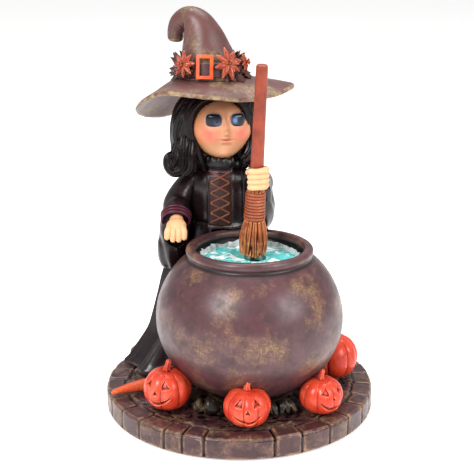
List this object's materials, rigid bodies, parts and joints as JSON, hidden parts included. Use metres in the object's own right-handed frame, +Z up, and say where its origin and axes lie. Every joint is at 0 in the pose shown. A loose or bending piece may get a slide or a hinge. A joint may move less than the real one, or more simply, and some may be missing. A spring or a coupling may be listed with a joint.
{
  "type": "animated witch figure",
  "caption": "Resin witch in a tall hat stirs a lit cauldron with a motor-driven broom, on a round paved base with pumpkins.",
  "frame": {"origin": "on the table under the middle of the round base", "axes": "+Z up; -Y is the witch's front, towards the viewer; +X is the witch's left, the viewer's right"},
  "size_m": [0.1652, 0.1652, 0.24],
  "materials": {
    "resin_brown": "cast resin, dark mauve brown with ochre dry-brushing",
    "resin_robe": "cast resin, near-black plum with a soft gloss",
    "resin_skin": "cast resin, painted matt peach",
    "resin_hair": "cast resin, painted satin black",
    "resin_orange": "cast resin, painted glossy orange-red",
    "resin_broom": "cast resin, painted red-brown with dark grooves",
    "resin_potion": "translucent aqua resin, lit from below",
    "clear_film": "clear film and clear LED lenses",
    "black_plastic": "moulded black plastic",
    "board_green": "green circuit board",
    "steel": "bare steel",
    "rubber": "soft black pads",
    "cell_wrap": "plain blue sleeve"
  },
  "bodies": {
    "figure": {"stone_base": "resin_brown", "cauldron": "resin_brown", "hat": "resin_brown", "fire_log": "resin_brown", "root_1": "resin_brown", "root_2": "resin_brown", "robe": "resin_robe", "resting_sleeve": "resin_robe", "stirring_sleeve": "resin_robe", "collar": "resin_robe", "hat_band": "resin_robe", "hat_garland": "resin_robe", "head": "resin_skin", "resting_hand": "resin_skin", "stirring_fist": "resin_skin", "hair": "resin_hair", "hair_lock_right": "resin_hair", "hair_lock_left": "resin_hair", "hat_buckle": "resin_orange", "hat_flower_1": "resin_orange", "hat_flower_2": "resin_orange", "hat_flower_3": "resin_orange", "pumpkin_middle": "resin_orange", "pumpkin_left": "resin_orange", "pumpkin_right": "resin_orange", "pumpkin_back": "resin_orange", "carrot": "resin_orange", "potion": "resin_potion", "potion_film": "clear_film", "led_1": "clear_film", "led_2": "clear_film", "led_3": "clear_film", "base_cover": "black_plastic", "battery_box": "black_plastic", "switch_body": "black_plastic", "motor_tower": "black_plastic", "fist_bush": "black_plastic", "battery_lead": "black_plastic", "motor_lead": "black_plastic", "control_board": "board_green", "led_board": "board_green", "cover_screw_1": "steel", "cover_screw_2": "steel", "cover_screw_3": "steel", "cover_screw_4": "steel", "gear_motor": "steel", "foot_pad_1": "rubber", "foot_pad_2": "rubber", "foot_pad_3": "rubber", "foot_pad_4": "rubber", "battery_cell_1": "cell_wrap", "battery_cell_2": "cell_wrap", "battery_cell_3": "cell_wrap"},
    "crank": {"crank_disc": "black_plastic"},
    "broom": {"broom_stick": "resin_broom", "broom_bristles": "resin_broom", "broom_binding": "resin_broom", "drive_pin": "steel"},
    "switch": {"switch_knob": "black_plastic"},
    "battery_door": {"battery_door": "black_plastic"}
  },
  "joints": [
    {"name": "crank_spin", "type": "hinge", "parent": "figure", "child": "crank", "pos_m": [0.0099, -0.0102, 0.08], "axis": [0, 0, 1], "continuous": true},
    {"name": "broom_spin", "type": "hinge", "parent": "crank", "child": "broom", "pos_m": [0.0099, -0.0102, 0.1461], "axis": [0.0418, -0.0669, 0.9969], "continuous": true},
    {"name": "switch_slide", "type": "slide", "parent": "figure", "child": "switch", "axis": [1, 0, 0], "range_m": [0, 0.003]},
    {"name": "battery_door_lift", "type": "slide", "parent": "figure", "child": "battery_door", "axis": [0, 0, -1], "range_m": [0, 0.025]}
  ],
  "couplings": [
    {"joint": "broom_spin", "follows": "crank_spin", "ratio": -1}
  ]
}
